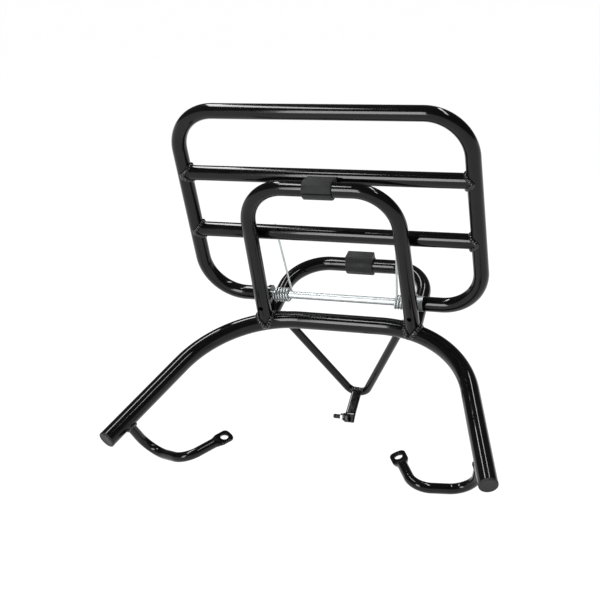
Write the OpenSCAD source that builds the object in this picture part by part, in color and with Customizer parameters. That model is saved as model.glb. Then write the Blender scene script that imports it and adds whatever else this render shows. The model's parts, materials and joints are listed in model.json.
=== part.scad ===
// Fold-down rear carrier for a scooter: a welded base of bent steel tube with a
// front hoop, a rear hoop and a V-shaped stay, and a tube platform that turns on
// a rod through two hinge ears and is held up by two torsion springs.
//
// The drawing frame has the hinge rod along X through the origin, the raised
// platform straight up along Z and the mounting arms towards -Y. The finished
// part leans forward from it, so that it stands on its two mounting arms and
// on the foot of its stay.

/* [Stance] */
// Forward lean of the raised platform, in degrees
lean = 19.5; // [18:0.5:21]
// Height of the hinge rod above the surface it stands on
hinge_h = 149.8; // [140:0.1:160]
// Distance of the hinge rod behind the middle of the footprint
hinge_back = 48.5; // [30:0.1:60]

/* [Tubes] */
// Outside diameter of the platform and hoop tube
tube_d = 16; // [14:0.5:16]
// Wall of the platform and hoop tube
tube_wall = 1.5; // [1:0.1:2]
// Outside diameter of the base tube
base_d = 19; // [18:0.5:20]
// Wall of the base tube
base_wall = 1.5; // [1:0.1:2]
// Diameter of the solid rod of the stay
rod_d = 9; // [8:0.5:10]
// Diameter of the solid rod of the mounting arms
arm_rod_d = 10.5; // [10:0.5:11]

/* [Platform] */
// Distance between the centre lines of the two side rails
plat_w = 311; // [300:1:330]
// Height of the top bar's centre line above the hinge rod
plat_h = 221; // [210:1:240]
// Bend radius of the platform's corners, to the centre line
plat_bend = 45; // [40:1:50]
// Height of the upper crossbar's centre line above the hinge rod
upper_h = 149.3; // [149:0.1:150]
// Height of the lower crossbar's centre line above the hinge rod
lower_h = 80.5; // [80:0.1:81]

/* [Front hoop] */
// Distance between the hoop's legs at the base, centre to centre
front_foot_w = 167; // [165:0.5:170]
// Distance between the hoop's legs at the top, centre to centre
front_top_w = 163; // [160:0.5:166]
// Distance of the hoop in front of the hinge rod
front_off = 22.5; // [22:0.1:23]
// Height of the hoop's top bar above the hinge rod
front_h = 147; // [146:0.1:148]
// Bend radius of the two hoops, to the centre line
hoop_bend = 44; // [40:1:46]

/* [Rear hoop] */
// Distance between the hoop's legs at the base, centre to centre
rear_foot_w = 165; // [163:0.5:167]
// Distance between the hoop's legs at the top bar, centre to centre
rear_top_w = 156.6; // [154:0.5:160]
// Distance of the top bar behind the hinge rod
rear_off = 77.7; // [77:0.1:78.5]
// Depth of the top bar below the hinge rod
rear_drop = 7.1; // [6.5:0.1:8]

/* [Base tube] */
// Distance of the crosspiece in front of the hinge rod
cross_off = 14.7; // [14:0.1:16]
// Depth of the crosspiece below the hinge rod
cross_drop = 22.4; // [21.5:0.1:23]
// Distance between the corners where the arms' lines meet the crosspiece's line
corner_w = 261; // [255:1:267]
// Bend radius of the base tube, to the centre line
base_bend = 119; // [110:1:122]
// Angle by which each arm spreads outwards, in degrees
arm_splay = 19.5; // [18:0.5:21]
// Angle by which each arm falls towards its end, in degrees
arm_fall = 8.3; // [7:0.1:9]
// Length of an arm from the corner to the open end of the tube
arm_len = 204.5; // [195:0.5:215]

/* [Mounting arms] */
// Distance between the holes of the two mounting lugs
lug_spacing = 190; // [186:1:194]
// Diameter of the hole in a mounting lug
lug_hole = 8.4; // [8:0.2:9]
// Width of a lug
lug_w = 16.5; // [15:0.5:18]
// Thickness of a lug
lug_t = 3.2; // [3:0.1:4]

/* [Buffers] */
// Length of a rubber buffer along its tube
buffer_len = 31; // [26:1:34]
// Rubber around the tube
buffer_wall = 2.6; // [2:0.1:3]
// Width of the buffer's pad
pad_w = 15; // [13:0.5:16]

/* [Hinge] */
// Diameter of the hinge rod
hinge_d = 8; // [6:0.5:8]
// Distance from the middle of the rack to the inner end of a platform stub
stub_in = 91.6; // [91:0.1:93]
// Radius of a hinge ear's round head
ear_r = 9.8; // [9:0.1:10.5]
// Thickness of a hinge ear
ear_t = 3; // [2.5:0.1:3.5]
// Diameter of the spring wire
wire_d = 2.2; // [1.8:0.1:2.4]
// Turns in one spring
coil_turns = 5; // [4:1:5]

/* [Hidden] */
$fn = 64;

// How far a straight laps into a bend, and how much thicker the bend is
lap = 0.3;
hair = 0.02;
// How deep a welded tube end is fused into the tube that it meets
fusion = 0.2;
// How far a crossbar's horns stop short of a rail's centre line
horn = 3;
// Free play between surfaces that turn on each other
play = 0.05;
// Gap that keeps the platform off a buffer at each end of its travel
rest_gap = 0.3;

// Base tube: its two ends and the two corners between them
arm_dir = [sin(arm_splay) * cos(arm_fall), -cos(arm_splay) * cos(arm_fall), -sin(arm_fall)];
corner_r = [corner_w / 2, -cross_off, -cross_drop];
arm_end_r = corner_r + arm_len * arm_dir;
base_route = [flip(arm_end_r), flip(corner_r), corner_r, arm_end_r];

// Front hoop: a leg ends level with the crosspiece and its line is upright
front_route = [
    [-front_foot_w / 2, -front_off, -cross_drop], [-front_top_w / 2, -front_off, front_h],
    [front_top_w / 2, -front_off, front_h], [front_foot_w / 2, -front_off, -cross_drop]
];

// Drain holes in the front of the hoop's legs, level with the hinge rod
vent_x = 83.2;

// Rear hoop: its legs run back from the crosspiece
rear_foot = [rear_foot_w / 2, -10, -21.4];
rear_top = [rear_top_w / 2, rear_off, -rear_drop];
rear_route = [flip(rear_foot), flip(rear_top), rear_top, rear_foot];

// Stay: one rod bent to a V, from the back of the crosspiece to its point
stay_top = [69, -8.4, -23];
stay_point = [0, 11.9, -152];
stay_bend = 14;

// Mounting arm on the right: weld, knee, elbow, lug hole and lug end
arm_root = [185.5, -180.7, -50.8];
arm_knee = [174.8, -168, -97.4];
arm_elbow = [122, -192.5, -79.9];
lug_centre = [lug_spacing / 2, -149.3, -83.4];
lug_dir = unit(lug_centre - arm_elbow);
lug_reach = 8;
lug_end_r = 9;
lug_back = 12;
lug_roll = 80;
lug_press = 7;
rod_bends = [22, 19];

// Stay bracket: side view of the strip, from the stay's point down to the foot
strip_top = [3.6, -131.9];
strip_low = [-24.7, -141];
foot_low = [-33.6, -146.2];
strip_w = 11.5;
strip_t = 2.4;
tab_d = 9;
tab_shift = 3.9;
bolt_d = 5;
bolt_len = 14;
bolt_slack = 0.6;
nut_w = 8;
nut_t = 3.2;
// Axis of the bolt, which passes just above the foot
bolt_axis = (strip_low + foot_low) / 2 + tab_shift * [-1, 1];
// A cutter runs past both faces by this much
spare = 1;

// Platform
rail_x = plat_w / 2;
platform_route = [
    [-stub_in, 0, 0], [-rail_x, 0, 0], [-rail_x, 0, plat_h],
    [rail_x, 0, plat_h], [rail_x, 0, 0], [stub_in, 0, 0]
];

// Hinge
ear_x = 80.5;
ear_drop = 24;
stem_w = 16;
spacer_d = 16.5;
spacer_gap = 0.2;
bush_len = 18;
hinge_len = 2 * (stub_in + bush_len);
coil_r = 7;
coil_in = 60;
coil_pitch = 3.1;
coil_out = coil_in + coil_turns * coil_pitch;
wire_sides = 8;
steps_per_turn = 16;
// The long leg ends behind the lower crossbar, spread outwards
leg_top = [67.2, tube_d / 2 + wire_d / 2 + 0.55, 84.5];
// The coil ends this far round and its tail runs into a hole in the ear
coil_rest = 0.625;
tail_angle = 90 + 360 * coil_rest;
tail = [coil_r * sin(tail_angle), coil_r * cos(tail_angle)];
tail_hole = 2.8;
// Middle of each buffer along its tube, to the right of the rack's middle
front_pad_x = 1.7;
rear_pad_x = -1.7;
// Distance from a hoop's centre line to the face of its buffer's pad
pad_reach = front_off - tube_d / 2 - rest_gap;

// ---- Vectors ----
function unit(v) = v / norm(v);
function flip(p) = [-p.x, p.y, p.z];
function turn(a, b) = acos(unit(a) * unit(b));
function setback(a, b, r) = r * tan(turn(a, b) / 2);

// ---- Shared shapes ----

// Everything is drawn upright and then leaned forward about the hinge
module stand() {
    translate([0, hinge_back, hinge_h]) rotate([lean, 0, 0]) children();
}

// Mirrors its children to the left side
module left() {
    mirror([1, 0, 0]) children();
}

// Puts the Z axis of its children on the line from p towards q
module along(p, q) {
    v = unit(q - p);
    translate(p) rotate([0, acos(v.z), atan2(v.y, v.x)]) children();
}

// Section of a tube, or of a solid bar when the bore is 0
module section(d, bore) {
    difference() {
        circle(d = d);
        if (bore > 0) circle(d = bore);
    }
}

// Tube bent along a route of points, with one bend radius for each inner point
module bent(route, radii, d, bore) {
    difference() {
        bar(route, radii, d);
        if (bore > 0) bar(route, radii, bore);
    }
}

// Solid bar along the route
module bar(route, radii, d) {
    v = unit(route[1] - route[0]);
    swing = atan2(v.y, v.x);
    side = [v.z * cos(swing), v.z * sin(swing), -sin(acos(v.z))];
    along(route[0], route[1]) limb(route, radii, d, 0, side, 0);
}

// One straight stretch and the bend after it, drawn from the end of the bend before,
// then the rest of the bar. side is the route's direction that is local +X. A straight
// laps a little way into each bend, which is thicker by a hair, so that they join.
module limb(route, radii, d, i, side, used) {
    a = route[i + 1] - route[i];
    from = i == 0 ? 0 : -lap;
    if (i + 2 == len(route)) {
        translate([0, 0, from]) linear_extrude(norm(a) - used - from) circle(d = d);
    } else {
        b = route[i + 2] - route[i + 1];
        r = radii[i];
        cut = setback(a, b, r);
        run = norm(a) - used - cut;
        bend = turn(a, b);
        inward = unit(b - (b * unit(a)) * unit(a));
        roll = atan2(inward * cross(unit(a), side), inward * side);
        translate([0, 0, from]) linear_extrude(run + lap - from) circle(d = d);
        translate([0, 0, run]) rotate([0, 0, roll]) {
            translate([r, 0, 0]) rotate([90, 0, 0]) mirror([1, 0, 0])
                rotate_extrude(angle = bend) translate([r, 0]) circle(d = d + hair);
            translate([r, 0, 0]) rotate([0, bend, 0]) translate([-r, 0, 0])
                limb(route, radii, d, i + 1, inward * cos(bend) - unit(a) * sin(bend), cut);
        }
    }
}

// The base tube as a solid, to cope the ends that are welded to it
module base_cutter() {
    bent(base_route, [base_bend, base_bend], base_d - 2 * fusion, 0);
}

// Crossbar coped to the two rails; its thin horns stop short of the rails' middle
module crossbar(height) {
    reach = rail_x - horn;
    difference() {
        along([-reach, 0, height], [reach, 0, height])
            linear_extrude(2 * reach) section(tube_d, tube_d - 2 * tube_wall);
        for (x = [-rail_x, rail_x])
            translate([x, 0, height - tube_d]) cylinder(d = tube_d - 2 * fusion, h = 2 * tube_d);
    }
}

// ---- Base ----

module base_tube() {
    color("#101112") stand()
        bent(base_route, [base_bend, base_bend], base_d, base_d - 2 * base_wall);
}

// Plastic cap: a plug inside the tube and a rim on its end
module end_cap() {
    color("#202224") stand() along(arm_end_r, arm_end_r + arm_dir) {
        cylinder(d = base_d, h = 1.6);
        translate([0, 0, 1.6]) cylinder(d1 = base_d, d2 = base_d - 2, h = 0.9);
        translate([0, 0, -12]) cylinder(d = base_d - 2 * base_wall - 2 * play, h = 12);
    }
}
module end_cap_right() { end_cap(); }
module end_cap_left() { left() end_cap(); }

// Bent rod with a flattened, drilled lug on its free end
module mount_arm() {
    neck = lug_centre - lug_back * lug_dir;
    color("#101112") stand() difference() {
        union() {
            bent([arm_root, arm_knee, arm_elbow, neck], rod_bends, arm_rod_d, 0);
            along(neck, lug_centre) rotate([0, 0, lug_roll]) lug();
        }
        along(lug_centre, lug_centre + lug_dir) rotate([0, 0, lug_roll])
            rotate([90, 0, 0]) cylinder(d = lug_hole, h = lug_t + 2 * spare, center = true);
        base_cutter();
    }
}

// Lug in its own frame: Z along the rod, X across its width, Y through its thickness
module lug() {
    intersection() {
        translate([0, 0, -lap]) cylinder(d = arm_rod_d + hair, h = lug_press + lap);
        rotate([90, 0, 90]) linear_extrude(2 * arm_rod_d, center = true) polygon([
            [-arm_rod_d, -spare], [arm_rod_d, -spare],
            [lug_t / 2, lug_press + spare], [-lug_t / 2, lug_press + spare]
        ]);
    }
    rotate([90, 0, 0]) linear_extrude(lug_t, center = true) {
        polygon([
            [-arm_rod_d / 2, spare], [arm_rod_d / 2, spare], [lug_w / 2, lug_press], [lug_w / 2, lug_back],
            [-lug_w / 2, lug_back], [-lug_w / 2, lug_press]
        ]);
        intersection() {
            translate([0, lug_back + lug_reach - lug_end_r]) circle(r = lug_end_r);
            translate([-lug_w / 2, lug_back - spare]) square([lug_w, lug_reach + 2 * spare]);
        }
    }
}
module mount_arm_right() { mount_arm(); }
module mount_arm_left() { left() mount_arm(); }

module front_hoop() {
    vent_d = 5;
    color("#101112") stand() difference() {
        bent(front_route, [hoop_bend, hoop_bend], tube_d, tube_d - 2 * tube_wall);
        base_cutter();
        for (x = [-vent_x, vent_x])
            translate([x, -front_off, 0]) rotate([90, 0, 0]) cylinder(d = vent_d, h = tube_d);
    }
}

module rear_cutter() {
    bent(rear_route, [hoop_bend, hoop_bend], tube_d - 2 * fusion, 0);
}

module rear_hoop() {
    color("#101112") stand() difference() {
        bent(rear_route, [hoop_bend, hoop_bend], tube_d, tube_d - 2 * tube_wall);
        base_cutter();
    }
}

// Upright ear: a round head on the hinge rod and a stem down to the rear hoop's leg
module hinge_ear() {
    color("#101112") stand() difference() {
        translate([ear_x, 0, 0]) rotate([0, 90, 0]) linear_extrude(ear_t) {
            circle(r = ear_r);
            translate([0, -stem_w / 2]) square([ear_drop, stem_w]);
        }
        translate([ear_x - spare, 0, 0]) rotate([0, 90, 0])
            cylinder(d = hinge_d + 2 * play, h = ear_t + 2 * spare);
        translate([ear_x - spare, tail.x, tail.y]) rotate([0, 90, 0])
            cylinder(d = tail_hole, h = ear_t + 2 * spare);
        base_cutter();
        rear_cutter();
    }
}
module hinge_ear_right() { hinge_ear(); }
module hinge_ear_left() { left() hinge_ear(); }

module stay() {
    color("#101112") stand() difference() {
        bent([flip(stay_top), stay_point, stay_top], [stay_bend], rod_d, 0);
        base_cutter();
    }
}

// Flat strip from the stay's point to the foot, with a side tab for the bolt
module stay_bracket() {
    color("#101112") stand() difference() {
        union() {
            strip(strip_top, strip_low);
            strip(strip_low, foot_low);
            at_bolt(-strip_w / 2) cylinder(d = tab_d, h = strip_t);
        }
        at_bolt(-strip_w / 2 - spare) cylinder(d = bolt_d + bolt_slack, h = strip_t + 2 * spare);
    }
}

// Strip of constant section between two points of the side view
module strip(a, b) {
    fall = atan2(b.y - a.y, b.x - a.x);
    translate([0, a.x, a.y]) rotate([fall, 0, 0])
        translate([-strip_w / 2, 0, -strip_t / 2]) cube([strip_w, norm(b - a), strip_t]);
}

// Puts its children on the bolt's axis at this x, with their Z axis towards +X
module at_bolt(x) {
    translate([x, bolt_axis.x, bolt_axis.y]) rotate([0, 90, 0]) children();
}

// Bolt through the tab, its head beside the foot and its end to the left
module bracket_bolt() {
    color("#2a2b2d") stand() {
        at_bolt(-strip_w / 2 + strip_t) cylinder(d = nut_w, h = nut_t, $fn = 6);
        at_bolt(-strip_w / 2 + strip_t - bolt_len) cylinder(d = bolt_d, h = bolt_len);
    }
}

module bracket_nut() {
    color("#9a9da0") stand() at_bolt(-strip_w / 2 - nut_t) difference() {
        cylinder(d = nut_w, h = nut_t, $fn = 6);
        translate([0, 0, -spare]) cylinder(d = bolt_d + 2 * play, h = nut_t + 2 * spare);
    }
}

// ---- Buffers ----

// Rubber clip round a tube along X, with its pad towards +Y
module buffer(reach) {
    slit = 1.2;
    rotate([0, 90, 0]) rotate([0, 0, 90]) linear_extrude(buffer_len, center = true) difference() {
        union() {
            circle(d = tube_d + 2 * buffer_wall);
            translate([0, -pad_w / 2]) square([reach, pad_w]);
        }
        circle(d = tube_d + 2 * play);
        translate([-tube_d, -slit / 2]) square([tube_d, slit]);
    }
}

module front_buffer() {
    color("#1c1d1e") stand() translate([front_pad_x, -front_off, front_h]) buffer(pad_reach);
}

module rear_buffer() {
    color("#1c1d1e") stand() translate([rear_pad_x, rear_off, -rear_drop])
        rotate([90, 0, 0]) buffer(pad_reach);
}

// ---- Hinge ----

module hinge_rod() {
    color("#c8ccd0") stand() rotate([0, 90, 0]) cylinder(d = hinge_d, h = hinge_len, center = true);
}

// Spacer between an ear and the platform's stub
module hinge_spacer() {
    start = ear_x + ear_t + spacer_gap;
    length = stub_in - spacer_gap - start;
    color("#c8ccd0") stand() translate([start, 0, 0]) rotate([0, 90, 0]) difference() {
        cylinder(d = spacer_d, h = length);
        translate([0, 0, -spare]) cylinder(d = hinge_d + 4 * play, h = length + 2 * spare);
    }
}
module hinge_spacer_right() { hinge_spacer(); }
module hinge_spacer_left() { left() hinge_spacer(); }

// Polyhedron swept round a list of points with a round section
module wire(points, d) {
    last = len(points) - 1;
    dirs = [for (i = [0 : last]) unit(points[min(i + 1, last)] - points[max(i - 1, 0)])];
    rings = [for (i = [0 : last]) let (x = inwards(points[i], dirs[i]), y = cross(dirs[i], x))
        for (k = [0 : wire_sides - 1])
            points[i] + d / 2 * (x * cos(360 * k / wire_sides) + y * sin(360 * k / wire_sides))];
    sides = [for (i = [0 : last - 1], k = [0 : wire_sides - 1]) let (n = (k + 1) % wire_sides)
        [i * wire_sides + k, (i + 1) * wire_sides + k, (i + 1) * wire_sides + n, i * wire_sides + n]];
    ends = [
        [for (k = [0 : wire_sides - 1]) k],
        [for (k = [0 : wire_sides - 1]) last * wire_sides + wire_sides - 1 - k]
    ];
    polyhedron(points = rings, faces = concat(sides, ends));
}

// Direction towards the hinge rod, square to the wire's direction v at the point p
function inwards(p, v) = abs(v.x) > 0.99 ? -unit([0, p.y, p.z]) : unit(cross(v, [1, 0, 0]));

// Point of the helix after this many turns from its inner end
function helix(turns) = let (a = 90 + 360 * turns)
    [coil_in + coil_pitch * turns, coil_r * sin(a), coil_r * cos(a)];

// Coil from the end of its first turn, and its tail in the ear's hole
module spring_coil() {
    steps = (coil_turns - 1 + coil_rest) * steps_per_turn;
    coil = [for (i = [0 : steps]) helix(1 + i / steps_per_turn)];
    tail_end = [ear_x + ear_t - spacer_gap, tail.x, tail.y];
    color("#d5d8da") stand() wire(concat(coil, [tail_end]), wire_d);
}
module spring_coil_right() { spring_coil(); }
module spring_coil_left() { left() spring_coil(); }

// First turn of the spring and its long straight leg, which move with the platform
module spring_leg() {
    first = [for (i = [0 : steps_per_turn - 1]) helix(i / steps_per_turn)];
    color("#d5d8da") stand() wire(concat([leg_top], first), wire_d);
}
module spring_leg_right() { spring_leg(); }
module spring_leg_left() { left() spring_leg(); }

// ---- Platform ----

module platform_frame() {
    color("#101112") stand()
        bent(platform_route, [for (i = [0 : 3]) plat_bend], tube_d, tube_d - 2 * tube_wall);
}

module upper_crossbar() { color("#101112") stand() crossbar(upper_h); }
module lower_crossbar() { color("#101112") stand() crossbar(lower_h); }

// Bush pressed into a stub, running on the hinge rod
module hinge_bush() {
    color("#c8ccd0") stand() translate([stub_in, 0, 0]) rotate([0, 90, 0]) difference() {
        cylinder(d = tube_d - 2 * tube_wall, h = bush_len);
        translate([0, 0, -spare]) cylinder(d = hinge_d + 2 * play, h = bush_len + 2 * spare);
    }
}
module hinge_bush_right() { hinge_bush(); }
module hinge_bush_left() { left() hinge_bush(); }

base_tube();
end_cap_left();
end_cap_right();
mount_arm_left();
mount_arm_right();
front_hoop();
rear_hoop();
front_buffer();
rear_buffer();
hinge_ear_left();
hinge_ear_right();
stay();
stay_bracket();
bracket_bolt();
bracket_nut();
hinge_rod();
hinge_spacer_left();
hinge_spacer_right();
spring_coil_left();
spring_coil_right();
platform_frame();
upper_crossbar();
lower_crossbar();
hinge_bush_left();
hinge_bush_right();
spring_leg_left();
spring_leg_right();
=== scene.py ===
"""Looks of a scooter's fold-down rear carrier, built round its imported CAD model."""

import json
import math
import random

import bmesh
import bpy
from mathutils import Matrix, Vector


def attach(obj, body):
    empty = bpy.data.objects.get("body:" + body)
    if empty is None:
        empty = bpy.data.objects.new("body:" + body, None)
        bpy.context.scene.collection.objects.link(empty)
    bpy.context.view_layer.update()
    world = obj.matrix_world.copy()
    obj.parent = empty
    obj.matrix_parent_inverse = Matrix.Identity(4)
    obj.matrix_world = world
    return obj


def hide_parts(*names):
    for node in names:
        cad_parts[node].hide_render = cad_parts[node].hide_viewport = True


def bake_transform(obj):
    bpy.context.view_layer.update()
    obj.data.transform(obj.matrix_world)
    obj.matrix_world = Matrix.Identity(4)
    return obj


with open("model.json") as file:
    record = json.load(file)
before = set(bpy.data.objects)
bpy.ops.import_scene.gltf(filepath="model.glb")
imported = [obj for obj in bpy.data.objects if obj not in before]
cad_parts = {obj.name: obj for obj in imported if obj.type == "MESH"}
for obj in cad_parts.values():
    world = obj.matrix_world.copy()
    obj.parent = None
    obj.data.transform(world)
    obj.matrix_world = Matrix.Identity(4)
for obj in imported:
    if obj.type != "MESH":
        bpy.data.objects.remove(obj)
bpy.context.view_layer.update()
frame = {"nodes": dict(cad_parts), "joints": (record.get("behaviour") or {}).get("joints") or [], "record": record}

random.seed(11)

# ---- Drawing frame: millimetres, hinge rod along X through the origin, raised platform along +Z ----

HINGE = Vector(frame["joints"][0]["pos_m"])
LEAN = math.radians(19.5)
UPRIGHT = Matrix.Translation(HINGE) @ Matrix.Rotation(LEAN, 4, "X") @ Matrix.Scale(0.001, 4)

TUBE_R = 8.0
BASE_R = 9.5
ROD_R = 4.5
ARM_ROD_R = 5.25
RAIL_X = 155.5
TOP_H = 221.0
CROSSBAR_H = (80.5, 149.3)
FRONT_HOOP = [(83.5, -22.5, -22.4), (81.5, -22.5, 147.0)]
REAR_HOOP = [(82.5, -10.0, -21.4), (78.3, 77.7, -7.1)]
BASE_CORNER = Vector((130.5, -14.7, -22.4))
BASE_BEND = 119.0
ARM_SPLAY = math.radians(19.5)
ARM_FALL = math.radians(8.3)
ARM_LENGTH = 204.5
STAY_TOP = Vector((69.0, -8.4, -23.0))
STAY_POINT = Vector((0.0, 11.9, -152.0))
ARM_ROUTE = [
    (185.5, -180.7, -50.8),
    (174.8, -168.0, -97.4),
    (122.0, -192.5, -79.9),
    (95.0, -149.3, -83.4),
]
ARM_BENDS = (22.0, 19.0)


def mirrored(point):
    """The same point on the left side."""
    return Vector((-point[0], point[1], point[2]))


ARM_DIR = Vector((
    math.sin(ARM_SPLAY) * math.cos(ARM_FALL),
    -math.cos(ARM_SPLAY) * math.cos(ARM_FALL),
    -math.sin(ARM_FALL),
))
ARM_END = BASE_CORNER + ARM_LENGTH * ARM_DIR


# ---- Lines and sweeps ----

def filleted(route, radii, step_deg=3.0):
    """Centre line through the route's points, with an arc of the given radius at each inner point."""
    route = [Vector(p) for p in route]
    line = [route[0]]
    for before, corner, after, radius in zip(route, route[1:], route[2:], radii):
        u = (corner - before).normalized()
        w = (after - corner).normalized()
        turn = u.angle(w)
        cut = radius * math.tan(turn / 2)
        start = corner - cut * u
        inward = (w - w.dot(u) * u).normalized()
        count = max(4, math.ceil(math.degrees(turn) / step_deg))
        for i in range(count + 1):
            a = turn * i / count
            line.append(start + radius * (inward * (1 - math.cos(a)) + u * math.sin(a)))
    line.append(route[-1])
    return line


def resampled(line, step):
    """Points along a line, evenly spaced, with both ends kept."""
    marks = [0.0]
    for a, b in zip(line, line[1:]):
        marks.append(marks[-1] + (b - a).length)
    count = max(2, round(marks[-1] / step))
    points = []
    k = 0
    for i in range(count + 1):
        s = marks[-1] * i / count
        while k < len(line) - 2 and marks[k + 1] < s:
            k += 1
        span = marks[k + 1] - marks[k]
        points.append(line[k].lerp(line[k + 1], (s - marks[k]) / span if span else 0.0))
    return points


def frames_along(line, side):
    """Direction, first and second cross axis at each point, turned as little as possible."""
    result = []
    for i in range(len(line)):
        v = (line[min(i + 1, len(line) - 1)] - line[max(i - 1, 0)]).normalized()
        side = (side - side.dot(v) * v).normalized()
        result.append((v, side, v.cross(side)))
    return result


def new_piece(name, bm, smooth_deg=35.0, place=UPRIGHT):
    """Object made from a bmesh in the drawing frame, placed in the scene's frame."""
    bmesh.ops.transform(bm, matrix=place, verts=bm.verts)
    bmesh.ops.recalc_face_normals(bm, faces=bm.faces)
    mesh = bpy.data.meshes.new(name)
    bm.to_mesh(mesh)
    bm.free()
    for polygon in mesh.polygons:
        polygon.use_smooth = True
    mesh.set_sharp_from_angle(angle=math.radians(smooth_deg))
    piece = bpy.data.objects.new(name, mesh)
    bpy.context.scene.collection.objects.link(piece)
    return piece


def skin(bm, rings, closed=False):
    """Faces between rings of vertices, with a fan on each open end."""
    loops = [[bm.verts.new(p) for p in ring] for ring in rings]
    pairs = list(zip(loops, loops[1:]))
    if closed:
        pairs.append((loops[-1], loops[0]))
    for lower, upper in pairs:
        for k in range(len(lower)):
            n = (k + 1) % len(lower)
            bm.faces.new((lower[k], lower[n], upper[n], upper[k]))
    if not closed:
        for loop in (loops[0], loops[-1]):
            centre = bm.verts.new(sum((v.co for v in loop), Vector()) / len(loop))
            for k in range(len(loop)):
                bm.faces.new((loop[k], loop[(k + 1) % len(loop)], centre))


def swept(bm, line, outline, side, closed=False):
    """Skins the outline along the line. outline(i) gives cross points (a, b) at the i-th point."""
    rings = []
    for i, (point, (_, x, y)) in enumerate(zip(line, frames_along(line, side))):
        rings.append([point + a * x + b * y for a, b in outline(i)])
    skin(bm, rings, closed)


def circle_points(radius, sides, turn=0.0):
    """Points of a circle in a cross plane."""
    angles = [turn + 2 * math.pi * k / sides for k in range(sides)]
    return [(radius * math.cos(a), radius * math.sin(a)) for a in angles]


def round_ended(line, radius, sides, side, bm, steps=4):
    """Wire of one radius along the line, its two ends rounded."""
    first = (line[1] - line[0]).normalized()
    last = (line[-1] - line[-2]).normalized()
    points = []
    radii = []
    for i in range(steps):
        a = math.pi / 2 * (i + 0.35) / steps
        points.append(line[0] + first * radius * (1 - math.sin(a)))
        radii.append(radius * math.sin(math.acos(1 - math.sin(a))) if i else radius * 0.35)
    body = [p for p in line[1:-1]]
    points += body
    radii += [radius] * len(body)
    for i in reversed(range(steps)):
        a = math.pi / 2 * (i + 0.35) / steps
        points.append(line[-1] - last * radius * (1 - math.sin(a)))
        radii.append(radius * math.sin(math.acos(1 - math.sin(a))) if i else radius * 0.35)
    swept(bm, points, lambda i: circle_points(radii[i], sides), side)


def lathe(bm, start, axis, profile, sides, side):
    """Turned shape: profile is (distance along the axis, radius) pairs."""
    axis = axis.normalized()
    x = (side - side.dot(axis) * axis).normalized()
    y = axis.cross(x)
    rings = []
    for along, radius in profile:
        rings.append([start + along * axis + a * x + b * y for a, b in circle_points(radius, sides)])
    skin(bm, rings)


def applied(piece):
    """Applies the piece's modifiers to its mesh."""
    graph = bpy.context.evaluated_depsgraph_get()
    mesh = bpy.data.meshes.new_from_object(piece.evaluated_get(graph))
    piece.modifiers.clear()
    piece.data = mesh
    return piece


# ---- Materials ----

def material(name, color, **values):
    """Principled material with plain values on its own sockets, and its node helper."""
    mat = bpy.data.materials.new(name)
    mat.use_nodes = True
    shader = mat.node_tree.nodes["Principled BSDF"]
    shader.inputs["Base Color"].default_value = (*color, 1)
    for key, value in values.items():
        shader.inputs[key.replace("_", " ")].default_value = value
    return mat, mat.node_tree, shader


def add_noise(tree, scale, detail=3.0, rough=0.55):
    """Noise over the object's own coordinates, in cycles per metre."""
    place = tree.nodes.new("ShaderNodeTexCoord")
    noise = tree.nodes.new("ShaderNodeTexNoise")
    noise.inputs["Scale"].default_value = scale
    noise.inputs["Detail"].default_value = detail
    noise.inputs["Roughness"].default_value = rough
    tree.links.new(place.outputs["Object"], noise.inputs["Vector"])
    return noise


def ranged(tree, source, low, high, start=0.35, end=0.65):
    """Maps a noise's middle range to low..high."""
    node = tree.nodes.new("ShaderNodeMapRange")
    node.inputs["From Min"].default_value = start
    node.inputs["From Max"].default_value = end
    node.inputs["To Min"].default_value = low
    node.inputs["To Max"].default_value = high
    tree.links.new(source, node.inputs["Value"])
    return node.outputs["Result"]


def tinted(tree, source, dark, light):
    """Colour between dark and light, by the source."""
    ramp = tree.nodes.new("ShaderNodeValToRGB")
    ramp.color_ramp.elements[0].position = 0.3
    ramp.color_ramp.elements[0].color = (*dark, 1)
    ramp.color_ramp.elements[1].position = 0.7
    ramp.color_ramp.elements[1].color = (*light, 1)
    tree.links.new(source, ramp.inputs["Fac"])
    return ramp.outputs["Color"]


def bumped(tree, source, distance, strength=1.0, below=None):
    """Bump of the given height in metres, over another bump if one is given."""
    node = tree.nodes.new("ShaderNodeBump")
    node.inputs["Distance"].default_value = distance
    node.inputs["Strength"].default_value = strength
    tree.links.new(source, node.inputs["Height"])
    if below is not None:
        tree.links.new(below, node.inputs["Normal"])
    return node.outputs["Normal"]


def powder_coat():
    """Gloss black powder coat: faint orange peel under a clear, sharp gloss."""
    mat, tree, shader = material(
        "powder_coat", (0.003, 0.003, 0.0032), IOR=1.27, Coat_Weight=0.3, Coat_IOR=1.38, Coat_Roughness=0.03)
    links = tree.links
    cloud = add_noise(tree, 60, 4)
    fine = add_noise(tree, 700, 2)
    peel = add_noise(tree, 260, 1)
    links.new(tinted(tree, cloud.outputs["Fac"], (0.0018, 0.0018, 0.002), (0.0036, 0.0037, 0.004)),
              shader.inputs["Base Color"])
    links.new(ranged(tree, cloud.outputs["Fac"], 0.09, 0.14), shader.inputs["Roughness"])
    wide = bumped(tree, peel.outputs["Fac"], 0.000004, 0.35)
    links.new(bumped(tree, fine.outputs["Fac"], 0.0000006, 0.25, wide), shader.inputs["Normal"])
    links.new(wide, shader.inputs["Coat Normal"])
    return mat


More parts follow.
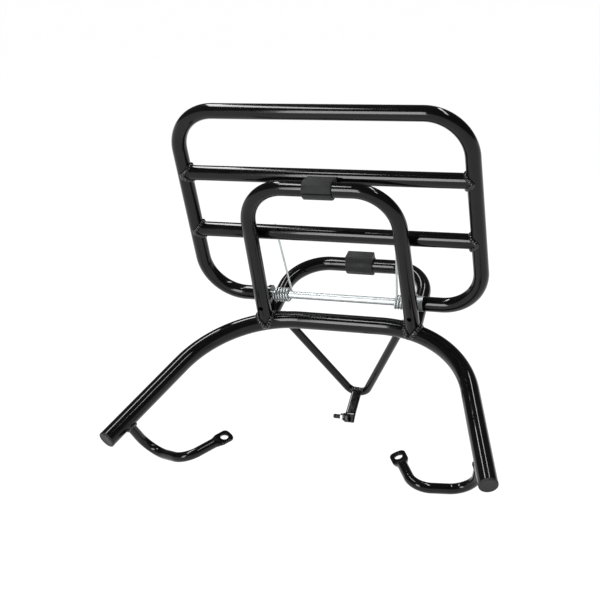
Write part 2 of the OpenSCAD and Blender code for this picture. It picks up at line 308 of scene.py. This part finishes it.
def weld_coat():
    """The same coat over a weld bead, a little rougher where it runs thin."""
    mat, tree, shader = material(
        "weld_coat", (0.004, 0.004, 0.0042), IOR=1.33, Coat_Weight=0.6, Coat_IOR=1.42, Coat_Roughness=0.05)
    grain = add_noise(tree, 900, 4)
    tree.links.new(ranged(tree, grain.outputs["Fac"], 0.16, 0.3), shader.inputs["Roughness"])
    tree.links.new(bumped(tree, grain.outputs["Fac"], 0.00022), shader.inputs["Normal"])
    tree.links.new(bumped(tree, grain.outputs["Fac"], 0.00018), shader.inputs["Coat Normal"])
    return mat


def zinc():
    """Bright zinc plate: pale metal with faint drawing marks and cloudy tone."""
    mat, tree, shader = material("zinc_plate", (0.6, 0.63, 0.64), Metallic=1.0)
    links = tree.links
    cloud = add_noise(tree, 110, 5)
    fine = add_noise(tree, 500, 3)
    links.new(tinted(tree, cloud.outputs["Fac"], (0.50, 0.535, 0.545), (0.68, 0.715, 0.72)),
              shader.inputs["Base Color"])
    links.new(ranged(tree, cloud.outputs["Fac"], 0.38, 0.52), shader.inputs["Roughness"])
    links.new(bumped(tree, fine.outputs["Fac"], 0.000002, 0.3), shader.inputs["Normal"])
    return mat


def rubber():
    """Matt black rubber with a moulded grain and a dusty bloom."""
    mat, tree, shader = material(
        "black_rubber", (0.012, 0.012, 0.013), Sheen_Weight=0.08, Sheen_Roughness=0.5, Specular_IOR_Level=0.3)
    links = tree.links
    bloom = add_noise(tree, 90, 5)
    grain = add_noise(tree, 2200, 4)
    links.new(tinted(tree, bloom.outputs["Fac"], (0.006, 0.0064, 0.0066), (0.013, 0.0136, 0.014)),
              shader.inputs["Base Color"])
    links.new(ranged(tree, bloom.outputs["Fac"], 0.5, 0.68), shader.inputs["Roughness"])
    links.new(bumped(tree, grain.outputs["Fac"], 0.00005), shader.inputs["Normal"])
    return mat


def cap_plastic():
    """Black moulded plastic with a spark-eroded texture."""
    mat, tree, shader = material("cap_plastic", (0.012, 0.012, 0.012), Specular_IOR_Level=0.3)
    links = tree.links
    cells = tree.nodes.new("ShaderNodeTexVoronoi")
    cells.inputs["Scale"].default_value = 1500
    place = tree.nodes.new("ShaderNodeTexCoord")
    links.new(place.outputs["Object"], cells.inputs["Vector"])
    cloud = add_noise(tree, 1400, 5)
    links.new(tinted(tree, cloud.outputs["Fac"], (0.007, 0.0075, 0.0072), (0.022, 0.024, 0.023)),
              shader.inputs["Base Color"])
    links.new(ranged(tree, cloud.outputs["Fac"], 0.42, 0.62), shader.inputs["Roughness"])
    links.new(bumped(tree, cells.outputs["Distance"], 0.00022), shader.inputs["Normal"])
    return mat


def dark_steel():
    """Blackened steel with bright wear on its high spots."""
    mat, tree, shader = material("dark_steel", (0.1, 0.1, 0.105), Metallic=0.9)
    links = tree.links
    wear = add_noise(tree, 700, 5)
    links.new(tinted(tree, wear.outputs["Fac"], (0.012, 0.012, 0.013), (0.09, 0.09, 0.092)),
              shader.inputs["Base Color"])
    links.new(ranged(tree, wear.outputs["Fac"], 0.3, 0.5), shader.inputs["Roughness"])
    links.new(bumped(tree, wear.outputs["Fac"], 0.00003), shader.inputs["Normal"])
    return mat


LOOKS = {
    "powder_coat": powder_coat(),
    "zinc": zinc(),
    "rubber": rubber(),
    "cap_plastic": cap_plastic(),
    "dark_steel": dark_steel(),
}
WELD = weld_coat()


def dress(piece, slot, look=None):
    """Gives a piece the material of the given slot, or the given look."""
    piece.data.materials.clear()
    piece.data.materials.append(look or LOOKS[slot])
    return piece


for part in frame["record"]["subparts"]:
    node = frame["nodes"][part["node"]]
    node.data.materials.clear()
    node.data.materials.append(LOOKS[part["material_slot"]])


# ---- Welds ----

def distance_to_line(point, line):
    """Distance from a point to a line of points, with the nearest place on it."""
    best = None
    for a, b in zip(line, line[1:]):
        ab = b - a
        t = max(0.0, min(1.0, (point - a).dot(ab) / ab.length_squared))
        near = a + t * ab
        d = (point - near).length
        if best is None or d < best[0]:
            best = (d, near)
    return best


def joint_loop(start, away, radius, other, other_radius, count=72):
    """Curve where a bar leaves another bar, with the outward direction between the two surfaces.

    start is a point of the bar's centre line inside the other one, and away its direction out of it.
    """
    away = away.normalized()
    x = away.orthogonal().normalized()
    y = away.cross(x)
    loop = []
    for k in range(count):
        a = 2 * math.pi * k / count
        radial = math.cos(a) * x + math.sin(a) * y

        def gap(s):
            return distance_to_line(start + s * away + radius * radial, other)[0] - other_radius

        steps = [3.2 * other_radius - 0.6 * i for i in range(round(8 * other_radius))]
        gaps = [gap(s) for s in steps]
        nearest = min(range(len(steps)), key=gaps.__getitem__)
        high = steps[nearest]
        inside = [i for i, g in enumerate(gaps) if g < 0]
        if inside:
            low, high = steps[inside[0]], steps[inside[0] - 1]
            for _ in range(8):
                middle = (low + high) / 2
                low, high = (middle, high) if gap(middle) < 0 else (low, middle)
        point = start + high * away + radius * radial
        near = distance_to_line(point, other)[1]
        loop.append((point, (radial + (point - near).normalized()).normalized()))
    return loop


BEAD_STEP = 0.45
BEAD_SIDES = 14


def weld_bead(name, loop, size, body, ripple=2.1, closed=True):
    """Lumpy bead along a joint: overlapping ripples of the given radius."""
    points = [p + 0.1 * size * out for p, out in loop]
    for _ in range(3 if closed else 0):
        shifted = zip(points[-1:] + points, points, points[1:] + points[:1])
        points = [(a + 2 * b + c) / 4 for a, b, c in shifted]
    dense = resampled(points + points[:1] if closed else points, BEAD_STEP)
    if closed:
        dense = dense[:-1]
    phase = random.random()
    swell = []
    travelled = 0.0
    lump = 1.0
    for i, point in enumerate(dense):
        if i:
            travelled += (point - dense[i - 1]).length
        part = (travelled / ripple + phase) % 1.0
        if part < 0.2:
            lump += (random.uniform(0.8, 1.2) - lump) * 0.5
        swell.append(size * lump * (0.8 + 0.24 * math.sqrt(max(0.0, math.sin(math.pi * part)))))
    bm = bmesh.new()
    any_side = Vector((0.3, 0.5, 0.8))
    swept(bm, dense, lambda i: circle_points(swell[i], BEAD_SIDES), any_side, closed)
    bead = new_piece(name, bm, 60)
    dress(bead, "powder_coat", WELD)
    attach(bead, body)
    return bead


def straight(a, b):
    """Line of two points, for a straight bar."""
    return [Vector(a), Vector(b)]


base_line = filleted([mirrored(ARM_END), mirrored(BASE_CORNER), BASE_CORNER, ARM_END], [BASE_BEND] * 2)
SIDES = {"left": mirrored, "right": Vector}


def weld_everything():
    """A bead at every welded joint."""
    for side, at in SIDES.items():
        rail = straight(at((RAIL_X, 0, 0)), at((RAIL_X, 0, TOP_H)))
        for height, bar in zip(CROSSBAR_H, ("lower", "upper")):
            loop = joint_loop(at((RAIL_X, 0, height)), at((-1, 0, 0)), TUBE_R, rail, TUBE_R)
            weld_bead(f"weld_{bar}_crossbar_{side}", loop, 2.5, "platform", 3.4)
        foot, head = (at(p) for p in FRONT_HOOP)
        loop = joint_loop(foot, head - foot, TUBE_R, base_line, BASE_R)
        weld_bead(f"weld_front_hoop_{side}", loop, 3.1, "base", 3.0)
        foot, head = (at(p) for p in REAR_HOOP)
        loop = joint_loop(foot, head - foot, TUBE_R, base_line, BASE_R)
        weld_bead(f"weld_rear_hoop_{side}", loop, 2.4, "base", 2.8)
        loop = joint_loop(at(STAY_TOP), at(STAY_POINT) - at(STAY_TOP), ROD_R, base_line, BASE_R)
        weld_bead(f"weld_stay_{side}", loop, 2.0, "base")
        root, knee = at(ARM_ROUTE[0]), at(ARM_ROUTE[1])
        loop = joint_loop(root, knee - root, ARM_ROD_R, base_line, BASE_R)
        weld_bead(f"weld_mount_arm_{side}", loop, 2.0, "base")


weld_everything()


# ---- Mounting arms ----

LUG_ROLL = math.radians(80)
LUG_W = 16.5
LUG_T = 3.2
LUG_TIP = 8.0
LUG_HOLE_R = 4.2
LUG_CORNER = 4.6
LUG_BACK = 12.0
PRESS = 8.5


def lug_axes(elbow, centre):
    """Width and thickness direction of a lug on the right side."""
    v = (centre - elbow).normalized()
    polar = math.acos(v.z)
    swing = math.atan2(v.y, v.x)
    facing = Matrix.Rotation(swing, 3, "Z") @ Matrix.Rotation(polar, 3, "Y")
    turn = facing @ Matrix.Rotation(LUG_ROLL, 3, "Z")
    return turn @ Vector((1, 0, 0)), turn @ Vector((0, 1, 0))


def flattened(half_w, half_t, power, count=40):
    """Superellipse: round for a power of 2, and flat with soft edges above it."""
    points = []
    for k in range(count):
        a = 2 * math.pi * k / count
        c, s = math.cos(a), math.sin(a)
        points.append((
            math.copysign(abs(c) ** (2 / power), c) * half_w,
            math.copysign(abs(s) ** (2 / power), s) * half_t,
        ))
    return points


def smooth_step(t):
    """Eased 0..1."""
    t = max(0.0, min(1.0, t))
    return t * t * (3 - 2 * t)


def mount_arm(side, at):
    """Bent rod whose end is pressed flat, rounded and drilled."""
    route = [Vector(p) for p in ARM_ROUTE]
    v = (route[3] - route[2]).normalized()
    width, normal = lug_axes(route[2], route[3])
    tip = route[3] + LUG_TIP * v
    line = resampled(filleted(route[:3] + [tip], ARM_BENDS, 2), 0.8)
    total = sum(((b - a).length for a, b in zip(line, line[1:])), 0.0)
    step = total / (len(line) - 1)
    frames = [(width, normal)]
    for i in range(len(line) - 2, -1, -1):
        d = (line[min(i + 1, len(line) - 1)] - line[max(i - 1, 0)]).normalized()
        x = frames[-1][0]
        x = (x - x.dot(d) * d).normalized()
        y = frames[-1][1]
        y = (y - y.dot(d) * d - y.dot(x) * x).normalized()
        frames.append((x, y))
    frames.reverse()
    press_start = total - LUG_TIP - LUG_BACK - 3
    rings = []
    for i, point in enumerate(line):
        s = i * step
        flat = smooth_step((s - press_start) / PRESS)
        half_w = ARM_ROD_R + (LUG_W / 2 - ARM_ROD_R) * smooth_step((s - press_start - 1) / PRESS)
        half_t = ARM_ROD_R + (LUG_T / 2 - ARM_ROD_R) * flat
        beyond = s - (total - LUG_CORNER)
        if beyond > 0:
            half_w -= LUG_CORNER - math.sqrt(max(0.0, LUG_CORNER ** 2 - beyond ** 2))
        edge = 1.0 if total - s > 0.5 else 0.78
        x, y = frames[i]
        outline = flattened(half_w, half_t * edge, 2 + 2.2 * flat)
        rings.append([at(point + a * x + b * y) for a, b in outline])
    bm = bmesh.new()
    skin(bm, rings)
    arm = new_piece(f"mount_arm_rod_{side}", bm, 40)

    bm = bmesh.new()
    hole = LUG_HOLE_R
    chamfer = 0.35
    reach = LUG_T / 2 + 2
    profile = [(-reach, hole + chamfer + 1.6), (-LUG_T / 2 + chamfer, hole), (LUG_T / 2 - chamfer, hole),
               (reach, hole + chamfer + 1.6)]
    lathe(bm, at(route[3]), at(normal), profile, 48, at(width))
    cutter = new_piece("hole_cutter", bm)
    cut = arm.modifiers.new("hole", "BOOLEAN")
    cut.operation = "DIFFERENCE"
    cut.solver = "EXACT"
    cut.object = cutter
    bpy.context.view_layer.update()
    applied(arm)
    arm.data.set_sharp_from_angle(angle=math.radians(40))
    bpy.data.objects.remove(cutter)
    dress(arm, "powder_coat")
    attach(arm, "base")
    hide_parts(f"mount_arm_{side}")


for side, at in SIDES.items():
    mount_arm(side, at)


# ---- Springs ----

WIRE_R = 1.1
COIL_R = 7.0
COIL_IN = 60.0
COIL_PITCH = 3.1
COIL_TURNS = 5.625
LEG_TOP = Vector((67.2, 9.65, 84.5))
TAIL_X = 83.3


def spring(side, at):
    """One wire: long leg, coil and the tail in the ear."""
    per_turn = 30
    count = round(COIL_TURNS * per_turn)
    coil = []
    for i in range(count + 1):
        turns = i / per_turn
        a = math.pi / 2 + 2 * math.pi * turns
        coil.append(Vector((COIL_IN + COIL_PITCH * turns, COIL_R * math.sin(a), COIL_R * math.cos(a))))
    leg = straight(LEG_TOP, coil[0])
    line = resampled(leg, 2.2)[:-1] + coil
    tail = Vector((TAIL_X, coil[-1].y, coil[-1].z))
    line += resampled(straight(coil[-1], tail), 1.2)[1:]
    for _ in range(2):
        inner = [(a + 2 * b + c) / 4 for a, b, c in zip(line, line[1:], line[2:])]
        line = [line[0]] + inner + [line[-1]]
    bm = bmesh.new()
    round_ended([at(p) for p in line], WIRE_R, 14, Vector((0, 1, 0)), bm)
    wire = new_piece(f"torsion_spring_{side}", bm, 60)
    dress(wire, "zinc")
    coil_end = at((COIL_IN + COIL_PITCH * COIL_TURNS, 0, 0))
    leg_side = at((COIL_IN, 0, 3))
    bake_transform(wire)
    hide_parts(f"spring_coil_{side}", f"spring_leg_{side}")


for side, at in SIDES.items():
    spring(side, at)


# ---- Rubber buffers ----

BUFFER_LENGTH = 31.0
BUFFER_R = 10.6
PAD_REACH = 14.2
PAD_HALF = 7.5
PAD_CORNER = 0.9
RIB_PITCH = 2.6
RIB_DEPTH = 0.55
SPLIT_HALF_ANGLE = math.radians(4.5)


def buffer_outline(sides=220):
    """Outer outline of a buffer round its tube: wrap, ribbed pad towards +a, and split opposite to it."""
    points = []
    gap = SPLIT_HALF_ANGLE
    for k in range(sides + 1):
        a = -math.pi + gap + (2 * math.pi - 2 * gap) * k / sides
        c, s = math.cos(a), math.sin(a)
        radius = BUFFER_R
        if c > 0.05:
            pad = min(PAD_REACH / c, PAD_HALF / max(1e-6, abs(s)))
            corner = abs(PAD_REACH / c - PAD_HALF / max(1e-6, abs(s))) < PAD_CORNER
            radius = max(BUFFER_R, pad - (0.35 if corner else 0))
        across = radius * s
        if c > 0.3 and radius > BUFFER_R + 0.2 and abs(across) < PAD_HALF - 0.8:
            radius -= RIB_DEPTH * (0.5 + 0.5 * math.cos(2 * math.pi * across / RIB_PITCH))
        if c < 0.1 and abs(a) < math.pi - 0.35:
            radius += 0.22 * max(0.0, math.cos(a * 14)) ** 2
        points.append((radius * c, radius * s))
    return points


def buffer(name, node, centre, pad_dir, body):
    """Split rubber clip round a hoop's top bar."""
    outer = buffer_outline()
    inner = []
    for a, b in outer:
        turn = math.atan2(b, a)
        inner.append(((TUBE_R + 0.04) * math.cos(turn), (TUBE_R + 0.04) * math.sin(turn)))
    lip = 0.5
    x = pad_dir
    y = Vector((1, 0, 0)).cross(x)
    end = BUFFER_LENGTH / 2
    stations = [(-end, lip), (-end + 0.25, 0.18), (-end + 0.7, 0)]
    stations += [(-along, inset) for along, inset in reversed(stations)]
    bm = bmesh.new()
    rings = []
    for along, inset in stations:
        ring = []
        for a, b in outer:
            length = math.hypot(a, b)
            keep = (length - inset) / length
            ring.append(centre + Vector((along, 0, 0)) + keep * (a * x + b * y))
        for a, b in reversed(inner):
            ring.append(centre + Vector((along, 0, 0)) + a * x + b * y)
        rings.append([bm.verts.new(p) for p in ring])
    for lower, upper in zip(rings, rings[1:]):
        for k in range(len(lower)):
            n = (k + 1) % len(lower)
            bm.faces.new((lower[k], lower[n], upper[n], upper[k]))
    half = len(outer)
    for ring in (rings[0], rings[-1]):
        for k in range(half - 1):
            bm.faces.new((ring[k], ring[k + 1], ring[2 * half - 2 - k], ring[2 * half - 1 - k]))
    pad = new_piece(name, bm, 30)
    dress(pad, "rubber")
    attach(pad, body)
    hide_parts(node)


buffer("front_rubber_buffer", "front_buffer", Vector((1.7, -22.5, 147.0)), Vector((0, 1, 0)), "base")
buffer("rear_rubber_buffer", "rear_buffer", Vector((-1.7, 77.7, -7.1)), Vector((0, 0, 1)), "base")


# ---- End caps ----

def end_cap(side, at):
    """Plug with a rounded rim and a shallow dish in its face."""
    profile = [
        (-12, 7.0), (-11, 7.9), (0.0, 7.95), (0.02, 9.2), (0.15, 9.42), (0.5, 9.5), (1.3, 9.5),
        (1.8, 9.35), (2.2, 8.95), (2.42, 8.3), (2.45, 7.4), (2.3, 6.9), (2.2, 6.2), (2.18, 2.0),
        (2.18, 0.4),
    ]
    bm = bmesh.new()
    lathe(bm, at(ARM_END), at(ARM_DIR), profile, 64, Vector((0, 0, 1)))
    cap = new_piece(f"end_plug_{side}", bm, 50)
    dress(cap, "cap_plastic")
    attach(cap, "base")
    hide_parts(f"end_cap_{side}")


for side, at in SIDES.items():
    end_cap(side, at)


# ---- Stay bracket, bolt and nut ----

STRIP_TOP = Vector((0, 3.6, -131.9))
STRIP_LOW = Vector((0, -24.7, -141.0))
FOOT_LOW = Vector((0, -33.6, -146.2))
STRIP_W = 11.5
STRIP_T = 2.4
TAB_SHIFT = 3.9
BOLT_AXIS = (STRIP_LOW + FOOT_LOW) / 2 + TAB_SHIFT * Vector((0, -1, 1))
TAB_R = 4.5
BOLT_R = 2.5
BOLT_LENGTH = 14.0
HEX_R = 4.0
HEX_T = 3.2


def bracket():
    """Strip bent down to its foot, with rounded edges and a round tab for the bolt."""
    line = filleted([STRIP_TOP, STRIP_LOW, FOOT_LOW], [5.0], 4)
    half_w, half_t = STRIP_W / 2, STRIP_T / 2
    bm = bmesh.new()
    swept(bm, resampled(line, 1.0), lambda i: flattened(half_w, half_t, 7, 48), Vector((1, 0, 0)))
    profile = [(0, TAB_R - 0.35), (0.35, TAB_R), (STRIP_T - 0.35, TAB_R), (STRIP_T, TAB_R - 0.35)]
    lathe(bm, BOLT_AXIS + Vector((-half_w, 0, 0)), Vector((1, 0, 0)), profile, 40, Vector((0, 0, 1)))
    strip = new_piece("bracket_strip", bm, 40)
    dress(strip, "powder_coat")
    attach(strip, "base")
    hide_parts("stay_bracket")


def hexagon(bm, start, thickness):
    """Solid hexagon along +X from start, its two faces chamfered. The bolt fills a nut's hole."""
    chamfer = 0.45
    levels = [(0, HEX_R * 0.9), (chamfer, HEX_R), (thickness - chamfer, HEX_R), (thickness, HEX_R * 0.9)]
    rings = []
    for along, radius in levels:
        ring = []
        for a, b in circle_points(HEX_R, 6):
            keep = radius / HEX_R
            ring.append(start + Vector((along, a * keep, b * keep)))
        rings.append([bm.verts.new(p) for p in ring])
    for lower, upper in zip(rings, rings[1:]):
        for k in range(6):
            n = (k + 1) % 6
            bm.faces.new((lower[k], lower[n], upper[n], upper[k]))
    for ring in (rings[0], rings[-1]):
        bm.faces.new(ring)


def bolt_and_nut():
    """Hexagon bolt with a cut thread, and its nut outside the tab."""
    tab_in = -STRIP_W / 2 + STRIP_T
    tab_out = -STRIP_W / 2
    bm = bmesh.new()
    hexagon(bm, BOLT_AXIS + Vector((tab_in, 0, 0)), HEX_T)
    profile = []
    pitch = 0.8
    x = 0.6
    profile.append((0.0, BOLT_R - 0.6))
    while x < BOLT_LENGTH - 1:
        profile += [(x, BOLT_R - 0.42), (x + 0.3 * pitch, BOLT_R), (x + 0.45 * pitch, BOLT_R),
                    (x + 0.75 * pitch, BOLT_R - 0.42)]
        x += pitch
    profile.append((BOLT_LENGTH, BOLT_R - 0.42))
    point = BOLT_AXIS + Vector((tab_in - BOLT_LENGTH, 0, 0))
    lathe(bm, point, Vector((1, 0, 0)), profile, 32, Vector((0, 0, 1)))
    bolt = new_piece("bracket_screw", bm, 25)
    dress(bolt, "dark_steel")
    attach(bolt, "base")
    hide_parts("bracket_bolt")
    bm = bmesh.new()
    hexagon(bm, BOLT_AXIS + Vector((tab_out - HEX_T, 0, 0)), HEX_T)
    nut = new_piece("hex_nut", bm, 25)
    dress(nut, "zinc")
    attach(nut, "base")
    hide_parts("bracket_nut")


def bracket_weld():
    """Open bead across the top of the strip, where it meets the stay's bend."""
    run = [STRIP_TOP + Vector((x, 2.2 - 0.012 * x * x, 2.6 - 0.03 * x * x)) for x in range(-7, 8)]
    up = Vector((0, -0.5, 0.85))
    weld_bead("weld_bracket", [(p, up) for p in run], 2.3, "base", 3.2, closed=False)


bracket()
bolt_and_nut()
bracket_weld()


# ---- Stage, lights and camera ----

def stage_floor():
    """Pale floor that glows a little, so that its shadows stay soft."""
    mat, _, shader = material("floor", (0.14, 0.14, 0.14), Roughness=0.9, Emission_Strength=0.98)
    shader.inputs["Emission Color"].default_value = (1, 1, 1, 1)
    shader.inputs["Specular IOR Level"].default_value = 0.0
    bm = bmesh.new()
    bmesh.ops.create_circle(bm, cap_ends=True, segments=96, radius=60)
    floor = new_piece("floor", bm, place=Matrix.Translation((0, 0, -0.0002)))
    floor.data.materials.append(mat)


def soft_light(name, centre, target, size, radiance, roll=0.0):
    """Rectangular light at centre, facing target, as bright as its radiance."""
    data = bpy.data.lights.new(name, "AREA")
    data.shape = "RECTANGLE"
    data.size, data.size_y = size
    data.energy = radiance * math.pi * size[0] * size[1]
    light = bpy.data.objects.new(name, data)
    facing = (Vector(target) - Vector(centre)).to_track_quat("-Z", "Y").to_matrix().to_4x4()
    light.matrix_world = Matrix.Translation(centre) @ facing @ Matrix.Rotation(roll, 4, "Z")
    bpy.context.scene.collection.objects.link(light)


def strip_light(name, start, end, width, radiance):
    """Long ceiling light between two points, facing down to the object."""
    start, end = Vector(start), Vector(end)
    along = (end - start).normalized()
    centre = (start + end) / 2
    down = (HINGE - centre)
    down = (down - down.dot(along) * along).normalized()
    data = bpy.data.lights.new(name, "AREA")
    data.shape = "RECTANGLE"
    data.size = width
    data.size_y = (end - start).length
    data.energy = radiance * math.pi * data.size * data.size_y
    light = bpy.data.objects.new(name, data)
    side = along.cross(-down)
    turn = Matrix((side, along, -down)).transposed().to_4x4()
    light.matrix_world = Matrix.Translation(centre) @ turn
    bpy.context.scene.collection.objects.link(light)


def studio_light():
    """Two long ceiling strips, a soft window in front to the left, and a dim room."""
    strip_light("strip_left", (-0.46, -0.85, 1.6), (-0.82, 0.65, 1.6), 0.16, 21)
    strip_light("strip_right", (0.75, -0.45, 1.45), (0.25, 0.75, 1.6), 0.12, 19)
    soft_light("window", (-0.45, -1.75, 0.55), HINGE, (0.5, 1.0), 13)
    world = bpy.data.worlds.new("room")
    world.use_nodes = True
    tree = world.node_tree
    place = tree.nodes.new("ShaderNodeTexCoord")
    split = tree.nodes.new("ShaderNodeSeparateXYZ")
    tree.links.new(place.outputs["Generated"], split.inputs["Vector"])
    level = ranged(tree, split.outputs["Z"], 1.04, 0.1, 0.04, 0.2)
    tree.links.new(level, tree.nodes["Background"].inputs["Strength"])
    tree.nodes["Background"].inputs["Color"].default_value = (1, 1, 1, 1)
    bpy.context.scene.world = world


def set_camera():
    """Camera at the product shot's angle."""
    data = bpy.data.cameras.new("camera")
    data.sensor_width = 36
    data.lens = 71.256
    camera = bpy.data.objects.new("camera", data)
    azimuth, elevation, roll = (math.radians(a) for a in (20.8, 15.01, -1.66))
    turn = Matrix.Rotation(azimuth, 4, "Z") @ Matrix.Rotation(math.pi / 2 - elevation, 4, "X")
    place = UPRIGHT @ Vector((398.9, -998.7, 706.4))
    camera.matrix_world = Matrix.Translation(place) @ turn @ Matrix.Rotation(roll, 4, "Z")
    bpy.context.scene.collection.objects.link(camera)
    bpy.context.scene.camera = camera


stage_floor()
studio_light()
set_camera()
bpy.context.scene.view_settings.view_transform = "Standard"
